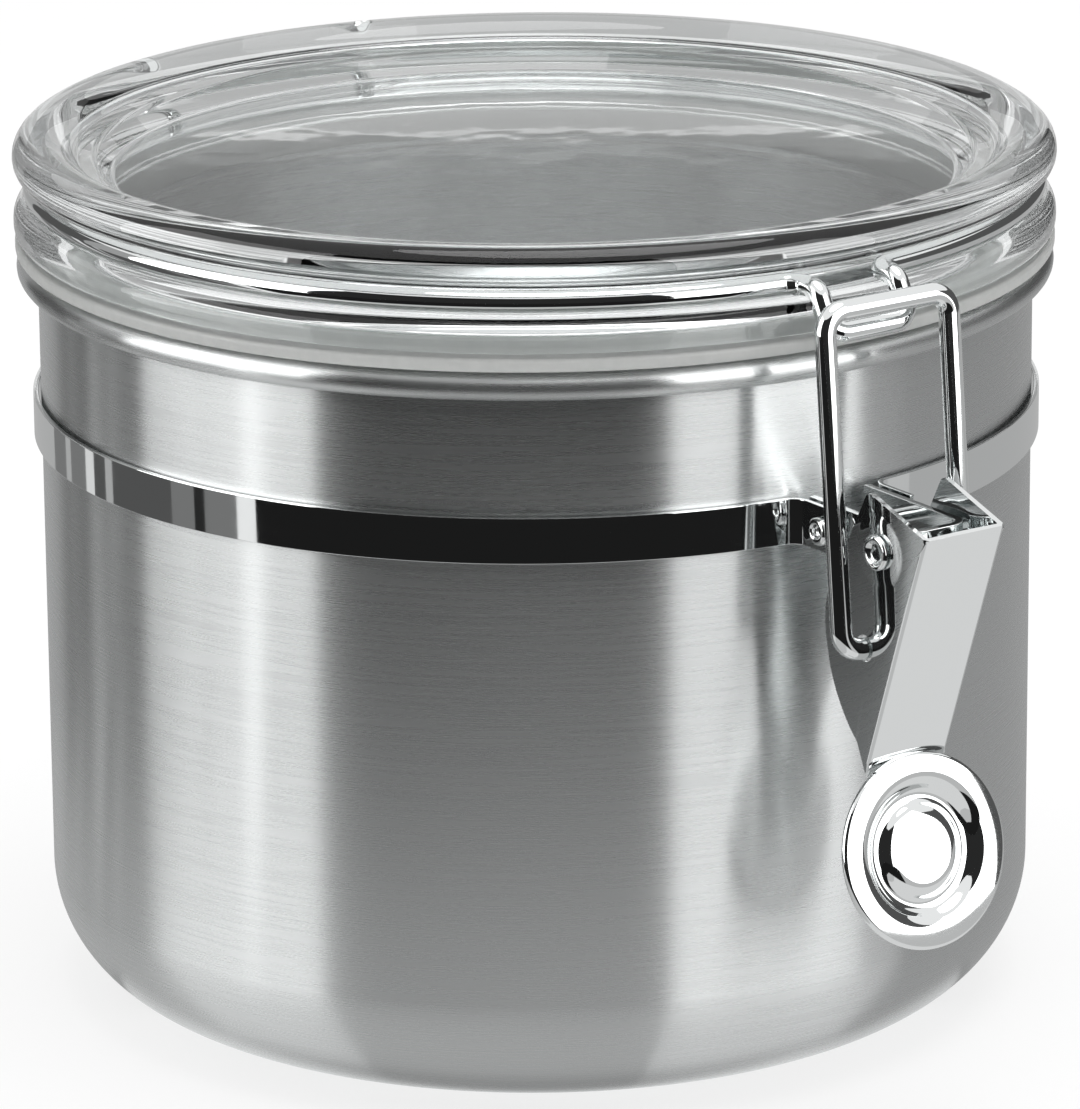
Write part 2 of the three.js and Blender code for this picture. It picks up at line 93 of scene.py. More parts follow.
def add_piece(name, bm, material):
    """Finished mesh as an object at the origin, smooth but for its creases, with flat faces kept flat."""
    bmesh.ops.scale(bm, vec=(MM, MM, MM), verts=bm.verts)
    for face in bm.faces:
        face.smooth = True
    for edge in bm.edges:
        edge.smooth = edge.calc_face_angle(0) < CREASE
    mesh = bpy.data.meshes.new(name)
    bm.to_mesh(mesh)
    bm.free()
    mesh.materials.append(material)
    piece = bpy.data.objects.new(name, mesh)
    scene.collection.objects.link(piece)
    normals = piece.modifiers.new("flat_faces", "WEIGHTED_NORMAL")
    normals.weight = 100
    normals.keep_sharp = True
    return piece


def linear(colour):
    """sRGB hex value as the linear colour that a shader reads."""
    parts = [int(colour[i:i + 2], 16) / 255 for i in (1, 3, 5)]
    return [p / 12.92 if p <= 0.04045 else ((p + 0.055) / 1.055) ** 2.4 for p in parts] + [1.0]


def add_node(tree, kind, inputs, **settings):
    """New node with its settings; each input is either a value or the socket that feeds it."""
    node = tree.nodes.new(kind)
    for name, value in settings.items():
        setattr(node, name, value)
    for name, value in inputs.items():
        if isinstance(value, bpy.types.NodeSocket):
            tree.links.new(value, node.inputs[name])
        else:
            node.inputs[name].default_value = value
    return node


def start_material(name):
    """New material and its empty node tree."""
    material = bpy.data.materials.new(name)
    material.use_nodes = True
    material.node_tree.nodes.clear()
    return material, material.node_tree


# Brushed 18/8 stainless: fine level scratches smear reflections up and down but keep them narrow sideways,
# so the eye sees upright light and dark bands with a faint level grain. The grit lines are about 0.1 mm
# apart in life and are drawn 0.3 mm apart so that they show.
GRAIN_SPACING = 0.3
GRAIN_LENGTH = 16.0
GRAIN_DEPTH = 0.004
brushed_steel, tree = start_material("brushed_stainless_steel")
place = add_node(tree, "ShaderNodeTexCoord", {})
stretch = add_node(tree, "ShaderNodeMapping", {
    "Vector": place.outputs["Object"],
    "Scale": (1 / (GRAIN_LENGTH * MM), 1 / (GRAIN_LENGTH * MM), 1 / (GRAIN_SPACING * MM)),
})
grain = add_node(tree, "ShaderNodeTexNoise", {
    "Vector": stretch.outputs["Vector"], "Scale": 1.0, "Detail": 3.0, "Roughness": 0.6,
})
shade = add_node(tree, "ShaderNodeMix", {
    0: grain.outputs["Fac"], 6: linear("#CCCECE"), 7: linear("#D6D8D8"),
}, data_type="RGBA")
gloss = add_node(tree, "ShaderNodeMapRange", {
    "Value": grain.outputs["Fac"], "From Min": 0.25, "From Max": 0.75, "To Min": 0.26, "To Max": 0.29,
})
relief = add_node(tree, "ShaderNodeBump", {
    "Height": grain.outputs["Fac"], "Strength": 0.1, "Distance": GRAIN_DEPTH * MM,
})
around = add_node(tree, "ShaderNodeVectorMath", {
    0: (0, 0, 1), 1: place.outputs["Object"],
}, operation="CROSS_PRODUCT")
shader = add_node(tree, "ShaderNodeBsdfPrincipled", {
    "Base Color": shade.outputs[2], "Metallic": 1.0, "Roughness": gloss.outputs["Result"],
    "Anisotropic": 1.0, "Anisotropic Rotation": 0.25, "Tangent": around.outputs["Vector"],
    "Normal": relief.outputs["Normal"],
})
add_node(tree, "ShaderNodeOutputMaterial", {"Surface": shader.outputs["BSDF"]})

inside_radius = BODY_RADIUS - BODY_WALL
roll = (RIM_RADIUS - inside_radius) / 2
roll_inside = roll - BODY_WALL
roll_low = RIM_TOP - 2 * roll
can = add_piece("drawn_can", turn(draw_outline([
    (0, PAD_LIFT, 0),
    (PAD_RADIUS, PAD_LIFT, PAD_ROUND),
    (PAD_RADIUS + PAD_SLOPE, 0, PAD_ROUND),
    (BODY_RADIUS, 0, BASE_CORNER),
    (BODY_RADIUS, RIM_TOP - BODY_WALL, roll_inside),
    (RIM_RADIUS - BODY_WALL, RIM_TOP - BODY_WALL, roll_inside),
    (RIM_RADIUS - BODY_WALL, roll_low + BODY_WALL, roll_inside),
    (ROLL_END, roll_low + BODY_WALL, 0),
    (ROLL_END, roll_low, 0),
    (RIM_RADIUS, roll_low, roll),
    (RIM_RADIUS, RIM_TOP, roll),
    (inside_radius, RIM_TOP, roll),
    (inside_radius, BODY_WALL, BASE_CORNER - BODY_WALL),
    (PAD_RADIUS + PAD_SLOPE, BODY_WALL, PAD_ROUND),
    (PAD_RADIUS, PAD_LIFT + BODY_WALL, PAD_ROUND),
    (0, PAD_LIFT + BODY_WALL, 0),
])), brushed_steel)
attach(can, "can")
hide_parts("can_body")


# Clamp band: a bright chromed strap drawn round the can, its two ends turned outwards as ears at the latch.
# It is bent from flat strip; the ears are pulled together by a rivet.
BAND_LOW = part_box("clamp_band")[0].z / MM
BAND_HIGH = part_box("clamp_band")[1].z / MM
BAND_OUTER = 58.1
BAND_SHEET = 0.6
EAR_OUTER = 5.5
EAR_REACH = -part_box("clamp_band")[0].y / MM
EAR_BEND = 1.6
BAND_STEPS = 120
EAR_BEND_STEPS = 8
BEND_STEPS = 10
SHEET_EDGE = 0.12


def push(bm, edges, shift):
    """Pushes edges along as new faces and returns the edges at the far end."""
    made = bmesh.ops.extrude_edge_only(bm, edges=edges)["geom"]
    ends = [part for part in made if isinstance(part, bmesh.types.BMVert)]
    bmesh.ops.translate(bm, verts=ends, vec=shift)
    return [part for part in made if isinstance(part, bmesh.types.BMEdge)]


def swing(bm, edges, centre, axis, angle, steps):
    """Swings edges round an axis as new faces and returns the edges at the far end."""
    ends = list({end for edge in edges for end in edge.verts})
    made = bmesh.ops.spin(bm, geom=edges + ends, cent=centre, axis=axis, angle=angle, steps=steps)
    return [part for part in made["geom_last"] if isinstance(part, bmesh.types.BMEdge)]


def follow(bm, edges, start, corners, bends, steps=BEND_STEPS):
    """Takes edges along straight runs through corners, from start; bends are the lengths of tangents."""
    for corner, after, length in zip(corners, corners[1:], bends):
        ahead = (corner - start).normalized()
        leaving = (after - corner).normalized()
        bend_start = corner - length * ahead
        if (bend_start - start).length > SAME_PLACE:
            edges = push(bm, edges, bend_start - start)
        axis = ahead.cross(leaving).normalized()
        angle = ahead.angle(leaving)
        centre = bend_start + axis.cross(ahead) * length / math.tan(angle / 2)
        edges = swing(bm, edges, centre, axis, angle, steps)
        start = corner + length * leaving
    if (corners[-1] - start).length > SAME_PLACE:
        edges = push(bm, edges, corners[-1] - start)
    return edges


def mirror_half(bm):
    """Adds the other half across the middle plane of the latch."""
    bmesh.ops.mirror(bm, geom=bm.verts[:] + bm.edges[:] + bm.faces[:], axis="X", merge_dist=SAME_PLACE)
    bmesh.ops.remove_doubles(bm, verts=bm.verts, dist=SAME_PLACE)
    bmesh.ops.recalc_face_normals(bm, faces=bm.faces)
    return bm


def thicken(bm, thickness, outwards):
    """Gives a sheet its thickness on the side away from the face that looks most along outwards."""
    looking = max(bm.faces, key=lambda face: abs(face.normal.dot(outwards)))
    if looking.normal.dot(outwards) < 0:
        bmesh.ops.reverse_faces(bm, faces=bm.faces)
    bmesh.ops.solidify(bm, geom=bm.faces[:], thickness=thickness)
    return bm


def soften(bm, width):
    """Breaks the sharp edges of a piece, as tumbling does."""
    sharp = [edge for edge in bm.edges if edge.calc_face_angle(0) > CREASE]
    bmesh.ops.bevel(bm, geom=sharp, offset=width, offset_type="OFFSET", affect="EDGES", segments=2,
                    profile=0.5, material=-1, clamp_overlap=True)
    return bm


def arc_corner(radius, line_x, tangent):
    """Corner in plan where the line x = line_x meets a circle's tangent, and the circle's angle there.

    The circle is about the axis; the bend leaves it on the latch side, tangent mm short of the line."""
    angle = -math.acos((line_x + tangent) / radius)
    touch = Vector((math.cos(angle), math.sin(angle), 0)) * radius
    ahead = Vector((-math.sin(angle), math.cos(angle), 0))
    length = (touch.x - line_x) / ahead.x
    return touch - length * ahead, length, angle


# Bright chrome over steel: a mirror on a faintly uneven sheet, so that reflections ripple a little, with
# faint smudges that soften them here and there.
RIPPLE_WIDTH = 7.0
RIPPLE_DEPTH = 0.003
SMUDGE_WIDTH = 2.5
chrome, tree = start_material("bright_chromed_steel")
place = add_node(tree, "ShaderNodeTexCoord", {})
ripple = add_node(tree, "ShaderNodeTexNoise", {
    "Vector": place.outputs["Object"], "Scale": 1 / (RIPPLE_WIDTH * MM), "Detail": 1.0,
})
smudge = add_node(tree, "ShaderNodeTexNoise", {
    "Vector": place.outputs["Object"], "Scale": 1 / (SMUDGE_WIDTH * MM), "Detail": 4.0,
})
gloss = add_node(tree, "ShaderNodeMapRange", {
    "Value": smudge.outputs["Fac"], "From Min": 0.3, "From Max": 0.7, "To Min": 0.03, "To Max": 0.06,
})
relief = add_node(tree, "ShaderNodeBump", {
    "Height": ripple.outputs["Fac"], "Strength": 1.0, "Distance": RIPPLE_DEPTH * MM,
})
shader = add_node(tree, "ShaderNodeBsdfPrincipled", {
    "Base Color": linear("#E4E6E6"), "Metallic": 1.0, "Roughness": gloss.outputs["Result"],
    "Normal": relief.outputs["Normal"],
})
add_node(tree, "ShaderNodeOutputMaterial", {"Surface": shader.outputs["BSDF"]})

corner, bend, angle = arc_corner(BAND_OUTER, EAR_OUTER, EAR_BEND)
bm = bmesh.new()
back = [bm.verts.new((0, BAND_OUTER, height)) for height in (BAND_LOW, BAND_HIGH)]
strip = [bm.edges.new(back)]
strip = swing(bm, strip, (0, 0, 0), (0, 0, 1), angle - math.pi / 2, BAND_STEPS)
touch = Vector((math.cos(angle), math.sin(angle), 0)) * BAND_OUTER
ear_tip = Vector((EAR_OUTER, -EAR_REACH, 0))
follow(bm, strip, touch, [corner, ear_tip], [bend], EAR_BEND_STEPS)
strap = soften(thicken(mirror_half(bm), BAND_SHEET, Vector((0, 1, 0))), SHEET_EDGE)
band = add_piece("clamp_strap", strap, chrome)
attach(band, "can")
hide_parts("clamp_band")


# Latch bracket: a chromed strap bent to a U that stands out between the ears of the band. The ears' rivet
# holds it, and it carries the lever's pivot pin.
BRACKET_HALF_WIDTH = 4.2
BRACKET_SHEET = 0.9
BRACKET_BEND = 2.4
bracket_low, bracket_high = (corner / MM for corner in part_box("latch_bracket"))

bm = bmesh.new()
middle = Vector((0, bracket_low.y, 0))
front = [bm.verts.new((0, bracket_low.y, height)) for height in (bracket_low.z, bracket_high.z)]
bracket_corner = Vector((BRACKET_HALF_WIDTH, bracket_low.y, 0))
bracket_end = Vector((BRACKET_HALF_WIDTH, bracket_high.y, 0))
follow(bm, [bm.edges.new(front)], middle, [bracket_corner, bracket_end], [BRACKET_BEND])
strap = soften(thicken(mirror_half(bm), BRACKET_SHEET, Vector((0, -1, 0))), SHEET_EDGE)
bracket = add_piece("pivot_bracket", strap, chrome)
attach(bracket, "can")
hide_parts("latch_bracket")


# Ear rivet: a chromed tubular rivet that draws both ears and the bracket together, its ends rolled over
# into small rings round a hollow. The hollow's depth, its taper and the roll are shares of other sizes.
EAR_RIVET = Vector((0, -62.4, 68.6))
EAR_RIVET_SHANK = 1.0
EAR_RIVET_HEAD = 1.6
EAR_RIVET_HEIGHT = 0.8
EAR_RIVET_SINK = 0.85
EAR_RIVET_START = 5.7
RIVET_ROLL = 0.6
RIVET_EDGE = 0.2
RIVET_MOUTH = 0.25
RIVET_HOLLOW = 0.8
RIVET_TAPER = 0.8
RIVET_STEPS = 48


def cross_rivet(place, shank, head, start, height, sink):
    """Tubular rivet across the latch: turned about Z, then laid along X through its place."""
    end = start + height
    bottom = end - RIVET_HOLLOW * height
    half = [
        (shank, start, 0),
        (head, start, RIVET_EDGE),
        (head, end, RIVET_ROLL * height),
        (sink, end, RIVET_MOUTH),
        (RIVET_TAPER * sink, bottom, RIVET_EDGE),
        (0, bottom, 0),
    ]
    other_half = [(radius, -along, rounding) for radius, along, rounding in reversed(half)]
    bm = turn(draw_outline(other_half + half), RIVET_STEPS)
    bmesh.ops.rotate(bm, verts=bm.verts, cent=(0, 0, 0), matrix=Matrix.Rotation(math.pi / 2, 3, "Y"))
    bmesh.ops.translate(bm, verts=bm.verts, vec=place)
    return bm


bm = cross_rivet(EAR_RIVET, EAR_RIVET_SHANK, EAR_RIVET_HEAD, EAR_RIVET_START, EAR_RIVET_HEIGHT,
                 EAR_RIVET_SINK)
ear_rivet = add_piece("ear_rivet", bm, chrome)
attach(ear_rivet, "can")
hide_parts("clamp_rivet")


# Hinge: a chromed plate curved to the back of the band with a rolled knuckle, held by two domed rivets.
# The two ends of the lid's wire turn in the knuckle. Neighbouring pieces stand a small gap apart.
GAP = 0.3
HINGE_PIN = Vector((0, 61.9, 68.7))
HINGE_PLATE_INNER = BAND_OUTER + GAP
HINGE_PLATE_SHEET = 0.8
HINGE_PLATE_HEIGHT = 6.4
HINGE_PLATE_ANGLE = math.radians(46)
HINGE_PLATE_CORNER = 1.6
HINGE_PLATE_STEPS = 16
KNUCKLE_RADIUS = 2.6
KNUCKLE_BORE = 1.5
KNUCKLE_HALF_LENGTH = 11.4
KNUCKLE_EDGE = 0.3
NECK_HALF_HEIGHT = 1.3
HINGE_RIVET_ANGLE = math.radians(20)
HINGE_RIVET_SHANK = 1.1
HINGE_RIVET_HEAD = 1.8
HINGE_RIVET_HEIGHT = 1.0
HINGE_RIVET_EDGE = 0.1
HINGE_RIVET_DOME = 0.9
HINGE_RIVET_STEPS = 40


def join(bm, other):
    """Adds another mesh to this one, as a weld does."""
    mesh = bpy.data.meshes.new("welded")
    other.to_mesh(mesh)
    other.free()
    bm.from_mesh(mesh)
    bpy.data.meshes.remove(mesh)
    return bm


plate_outer = HINGE_PLATE_INNER + HINGE_PLATE_SHEET
bm = bmesh.new()
heights = (HINGE_PIN.z - HINGE_PLATE_HEIGHT / 2, HINGE_PIN.z + HINGE_PLATE_HEIGHT / 2)
side = [bm.verts.new((0, plate_outer, height)) for height in heights]
plate_end = swing(bm, [bm.edges.new(side)], (0, 0, 0), (0, 0, 1), -HINGE_PLATE_ANGLE / 2,
                  HINGE_PLATE_STEPS)
bmesh.ops.bevel(bm, geom=list(plate_end[0].verts), offset=HINGE_PLATE_CORNER, offset_type="OFFSET",
                affect="VERTICES", segments=5, profile=0.5, material=-1)
plate = soften(thicken(mirror_half(bm), HINGE_PLATE_SHEET, Vector((0, 1, 0))), SHEET_EDGE)
neck_middle = (HINGE_PIN.y - KNUCKLE_BORE + plate_outer - HINGE_PLATE_SHEET / 2) / 2
neck_depth = HINGE_PIN.y - KNUCKLE_BORE - plate_outer + HINGE_PLATE_SHEET / 2
neck = bmesh.new()
bmesh.ops.create_cube(neck, size=2.0)
bmesh.ops.scale(neck, vec=(KNUCKLE_HALF_LENGTH, neck_depth / 2, NECK_HALF_HEIGHT), verts=neck.verts)
bmesh.ops.translate(neck, vec=(0, neck_middle, HINGE_PIN.z), verts=neck.verts)
knuckle = turn(draw_outline([
    (KNUCKLE_BORE, -KNUCKLE_HALF_LENGTH, KNUCKLE_EDGE),
    (KNUCKLE_RADIUS, -KNUCKLE_HALF_LENGTH, KNUCKLE_EDGE),
    (KNUCKLE_RADIUS, KNUCKLE_HALF_LENGTH, KNUCKLE_EDGE),
    (KNUCKLE_BORE, KNUCKLE_HALF_LENGTH, KNUCKLE_EDGE),
], closed=True), RIVET_STEPS)
bmesh.ops.rotate(knuckle, verts=knuckle.verts, cent=(0, 0, 0), matrix=Matrix.Rotation(math.pi / 2, 3, "Y"))
bmesh.ops.translate(knuckle, verts=knuckle.verts, vec=HINGE_PIN)
hinge = add_piece("hinge_knuckle", join(join(plate, neck), knuckle), chrome)
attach(hinge, "can")
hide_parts("hinge_bracket")

for name, angle in (("left", HINGE_RIVET_ANGLE), ("right", -HINGE_RIVET_ANGLE)):
    bm = turn(draw_outline([
        (0, BAND_OUTER - BAND_SHEET, 0),
        (HINGE_RIVET_SHANK, BAND_OUTER - BAND_SHEET, 0),
        (HINGE_RIVET_SHANK, plate_outer, 0),
        (HINGE_RIVET_HEAD, plate_outer, HINGE_RIVET_EDGE),
        (HINGE_RIVET_HEAD, plate_outer + HINGE_RIVET_HEIGHT, HINGE_RIVET_DOME),
        (0, plate_outer + HINGE_RIVET_HEIGHT, 0),
    ]), HINGE_RIVET_STEPS)
    outwards = Matrix.Rotation(angle, 3, "Z") @ Matrix.Rotation(-math.pi / 2, 3, "X")
    bmesh.ops.rotate(bm, verts=bm.verts, cent=(0, 0, 0), matrix=outwards)
    bmesh.ops.translate(bm, verts=bm.verts, vec=(0, 0, HINGE_PIN.z))
    rivet = add_piece("plate_rivet_" + name, bm, chrome)
    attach(rivet, "can")
    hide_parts("hinge_rivet_" + name)


# Lid: a clear moulded acrylic disc, dished in the middle, with a rounded bead, a groove for the wire,
# a flange that presses the seal on the rim and a ring wall below that plugs the mouth of the can.
LID_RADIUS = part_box("lid_cover")[1].x / MM
PLUG_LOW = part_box("lid_cover")[0].z / MM
LID_LOW = 89.9
LID_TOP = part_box("lid_cover")[1].z / MM
PANEL_LOW = 94.4
PANEL_TOP = 96.3
PANEL_FILLET = 0.6
PLUG_INNER = 49.9
PLUG_OUTER = 51.6
PLUG_TIP_ROUND = 0.8
PLUG_FILLET = 0.3
RIB_GROOVE_INNER = 54.9
RIB_GROOVE_OUTER = 57.0
RIB_GROOVE_TOP = 91.6
RIB_GROOVE_EDGE = 0.2
RIB_GROOVE_FILLET = 0.3
FLANGE_LOW_ROUND = 1.2
FLANGE_HIGH_ROUND = 2.1
WIRE_GROOVE_RADIUS = 56.0
WIRE_GROOVE_LOW = 93.9
WIRE_GROOVE_HIGH = 96.9
WIRE_GROOVE_FILLET = 0.4
BEAD_INNER = 54.4
BEAD_LOW_ROUND = 1.9
BEAD_OUTER_ROUND = 2.6
BEAD_INNER_ROUND = 1.8
BEAD_FOOT = (53.0, 99.2, 0.8)
SHOULDER = (50.4, 98.5, 0.5)
DISH_RADIUS = 48.4
DISH_FILLET = 0.4

# Clear acrylic: glass-like, its moulded surface a little wavy, so that highlights wobble along the rim.
FLOW_WIDTH = 9.0
FLOW_DEPTH = 0.012
acrylic, tree = start_material("clear_moulded_acrylic")
place = add_node(tree, "ShaderNodeTexCoord", {})
flow = add_node(tree, "ShaderNodeTexNoise", {
    "Vector": place.outputs["Object"], "Scale": 1 / (FLOW_WIDTH * MM), "Detail": 1.5,
})
relief = add_node(tree, "ShaderNodeBump", {
    "Height": flow.outputs["Fac"], "Strength": 1.0, "Distance": FLOW_DEPTH * MM,
})
shader = add_node(tree, "ShaderNodeBsdfPrincipled", {
    "Base Color": linear("#F4F6F6"), "Roughness": 0.015, "IOR": 1.49, "Transmission Weight": 1.0,
    "Normal": relief.outputs["Normal"],
})
add_node(tree, "ShaderNodeOutputMaterial", {"Surface": shader.outputs["BSDF"]})

lid = add_piece("clear_lid", turn(draw_outline([
    (0, PANEL_LOW, 0),
    (PLUG_INNER, PANEL_LOW, PANEL_FILLET),
    (PLUG_INNER, PLUG_LOW, PLUG_TIP_ROUND),
    (PLUG_OUTER, PLUG_LOW, PLUG_TIP_ROUND),
    (PLUG_OUTER, LID_LOW, PLUG_FILLET),
    (RIB_GROOVE_INNER, LID_LOW, RIB_GROOVE_EDGE),
    (RIB_GROOVE_INNER, RIB_GROOVE_TOP, RIB_GROOVE_FILLET),
    (RIB_GROOVE_OUTER, RIB_GROOVE_TOP, RIB_GROOVE_FILLET),
    (RIB_GROOVE_OUTER, LID_LOW, RIB_GROOVE_EDGE),
    (LID_RADIUS, LID_LOW, FLANGE_LOW_ROUND),
    (LID_RADIUS, WIRE_GROOVE_LOW, FLANGE_HIGH_ROUND),
    (WIRE_GROOVE_RADIUS, WIRE_GROOVE_LOW, WIRE_GROOVE_FILLET),
    (WIRE_GROOVE_RADIUS, WIRE_GROOVE_HIGH, WIRE_GROOVE_FILLET),
    (LID_RADIUS, WIRE_GROOVE_HIGH, BEAD_LOW_ROUND),
    (LID_RADIUS, LID_TOP, BEAD_OUTER_ROUND),
    (BEAD_INNER, LID_TOP, BEAD_INNER_ROUND),
    BEAD_FOOT,
    SHOULDER,
    (DISH_RADIUS, PANEL_TOP, DISH_FILLET),
    (0, PANEL_TOP, 0),
])), acrylic)
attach(lid, "lid")
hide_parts("lid_cover")


# Seal: a soft silicone ring under the lid's flange, moulded with a rib that is pressed up into a groove
# of the lid and a sleeve that is stretched over its plug.
SEAL_INNER = PLUG_OUTER + GAP
SEAL_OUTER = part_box("lid_gasket")[1].x / MM
SEAL_LOW = RIM_TOP + GAP
SEAL_TOP = LID_LOW - GAP
SEAL_ROUND = 0.5
SEAL_FILLET = 0.3
SEAL_RIB_INNER = RIB_GROOVE_INNER + GAP
SEAL_RIB_OUTER = RIB_GROOVE_OUTER - GAP
SEAL_RIB_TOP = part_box("lid_gasket")[1].z / MM
SEAL_RIB_FOOT = 0.2
SLEEVE_OUTER = 53.2
SLEEVE_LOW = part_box("lid_gasket")[0].z / MM
SLEEVE_ROUND = 0.4

# Translucent silicone: milky and satin, its skin slightly mottled by the mould.
MOTTLE_WIDTH = 1.2
silicone, tree = start_material("translucent_silicone")
place = add_node(tree, "ShaderNodeTexCoord", {})
mottle = add_node(tree, "ShaderNodeTexNoise", {
    "Vector": place.outputs["Object"], "Scale": 1 / (MOTTLE_WIDTH * MM), "Detail": 2.0,
})
shade = add_node(tree, "ShaderNodeMix", {
    0: mottle.outputs["Fac"], 6: linear("#D0D2D0"), 7: linear("#E2E3E1"),
}, data_type="RGBA")
shader = add_node(tree, "ShaderNodeBsdfPrincipled", {
    "Base Color": shade.outputs[2], "Roughness": 0.4, "IOR": 1.41, "Transmission Weight": 0.35,
})
add_node(tree, "ShaderNodeOutputMaterial", {"Surface": shader.outputs["BSDF"]})

seal = add_piece("seal_ring", turn(draw_outline([
    (SEAL_INNER, SLEEVE_LOW, SLEEVE_ROUND),
    (SLEEVE_OUTER, SLEEVE_LOW, SLEEVE_ROUND),
    (SLEEVE_OUTER, SEAL_LOW, SEAL_FILLET),
    (SEAL_OUTER, SEAL_LOW, SEAL_ROUND),
    (SEAL_OUTER, SEAL_TOP, SEAL_ROUND),
    (SEAL_RIB_OUTER, SEAL_TOP, SEAL_RIB_FOOT),
    (SEAL_RIB_OUTER, SEAL_RIB_TOP, SEAL_FILLET),
    (SEAL_RIB_INNER, SEAL_RIB_TOP, SEAL_FILLET),
    (SEAL_RIB_INNER, SEAL_TOP, SEAL_RIB_FOOT),
    (SEAL_INNER, SEAL_TOP, SEAL_FILLET),
], closed=True)), silicone)
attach(seal, "lid")
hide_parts("lid_gasket")


# Ring wire: one chromed wire bent round the lid in its groove, with a nose in front for the latch and two
# legs behind that turn in at the hinge. Half of it is bent and mirrored.
WIRE_RADIUS = 1.2
WIRE_SIDES = 24
CUT_CHAMFER = 0.2
RING_RADIUS = 57.5
RING_STEPS = 128
RING_HEIGHT = 95.4
RING_BEND = 2.2
NOSE_HALF_WIDTH = 5.3
NOSE_DROP_REACH = 61.2
NOSE_DROP_BEND = 1.1
NOSE_REACH = 63.6
NOSE_HEIGHT = 91.0
NOSE_BEND = 2.0
LEG_OFFSET = 15.8
LEG_BEND = 2.6
LEG_END = 4.0


def start_wire(bm, place, radius):
    """Ring of edges across X, as the cut end of a round wire."""
    across = Matrix.Translation(place) @ Matrix.Rotation(math.pi / 2, 4, "Y")
    made = bmesh.ops.create_circle(bm, cap_ends=False, radius=radius, segments=WIRE_SIDES, matrix=across)
    return list({edge for end in made["verts"] for edge in end.link_edges})


def cap_wire(bm, edges):
    """Closes the cut end of a wire with a small chamfer."""
    cap = bmesh.ops.edgeloop_fill(bm, edges=edges)["faces"]
    bmesh.ops.bevel(bm, geom=list(cap[0].edges), offset=CUT_CHAMFER, offset_type="OFFSET",
                    affect="EDGES", segments=2, profile=0.5, material=-1)


lift = Vector((0, 0, RING_HEIGHT))
nose_corner, nose_bend, nose_angle = arc_corner(RING_RADIUS, NOSE_HALF_WIDTH, RING_BEND)
leg_corner, leg_bend, leg_angle = arc_corner(RING_RADIUS, LEG_OFFSET, RING_BEND)
bm = bmesh.new()
nose_middle = Vector((0, -NOSE_REACH, NOSE_HEIGHT))
wire = start_wire(bm, nose_middle, WIRE_RADIUS)
ring_start = Vector((math.cos(nose_angle), math.sin(nose_angle), 0)) * RING_RADIUS + lift
wire = follow(bm, wire, nose_middle, [
    Vector((NOSE_HALF_WIDTH, -NOSE_REACH, NOSE_HEIGHT)),
    Vector((NOSE_HALF_WIDTH, -NOSE_DROP_REACH, RING_HEIGHT)),
    nose_corner + lift,
    ring_start,
], [NOSE_BEND, NOSE_DROP_BEND, nose_bend])
wire = swing(bm, wire, lift, (0, 0, 1), -leg_angle - nose_angle, RING_STEPS)
ring_end = Vector((math.cos(leg_angle), -math.sin(leg_angle), 0)) * RING_RADIUS + lift
wire = follow(bm, wire, ring_end, [
    Vector((leg_corner.x, -leg_corner.y, RING_HEIGHT)),
    Vector((LEG_OFFSET, HINGE_PIN.y, RING_HEIGHT)),
    Vector((LEG_OFFSET, HINGE_PIN.y, HINGE_PIN.z)),
    Vector((LEG_END, HINGE_PIN.y, HINGE_PIN.z)),
], [leg_bend, LEG_BEND, LEG_BEND])
cap_wire(bm, wire)
ring_wire = add_piece("lid_bail_wire", mirror_half(bm), chrome)
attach(ring_wire, "lid")
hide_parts("lid_ring_wire")


# Lever: one chromed sheet folded to a channel that is open behind, its foot pressed into a round thumb tab
# with a rolled rim, a sunk ring and a flat middle. Places are (distance from the can's axis, height), the
# boss is (radius, rise of that step), and the tab's face is turned from (radius, height, rounding).
LEVER_HALF_WIDTH = 5.4
LEVER_SHEET = 0.6
LEVER_FOLD = 0.5
LEVER_EDGE = 0.24
LEVER_FACING = Vector((0, -1, 0.35))
PIVOT = (72.4, 68.6)
PIVOT_BOSS = [
    (4.2, 0),
    (3.7, 0),
    (3.1, 0.07),
    (1.7, 0),
]
LOOP_PIVOT = (69.9, 57.1)
LOOP_HOLE = 1.5
LEVER_SIDE = [
    (70.3, 42.5, 0),
    (80.6, 71.7, 0),
    (70.3, 74.9, 0.7),
    (63.2, 61.8, 1.2),
    (62.6, 58.5, 1.9),
    (64.7, 49.5, 4.8),
    (68.6, 46.2, 0.2),
]
TAB_CENTRE = (73.8, 33.9)
TAB_TILT = math.radians(13.8)
TAB_SHEET = 1.0
TAB_BACK_INSET = 0.4
TAB_STEPS = 128
TAB_FACE = [
    (0, 0, 0),
    (4.4, 0, 0.8),
    (6.1, -1.5, 1.2),
    (7.9, 0.5, 1.0),
    (10.9, 0.3, 0.45),
    (10.9, -0.6, 0.4),
]


def latch_place(x, point):
    """Place beside the middle plane of the latch."""
    return Vector((x, -point[0], point[1]))


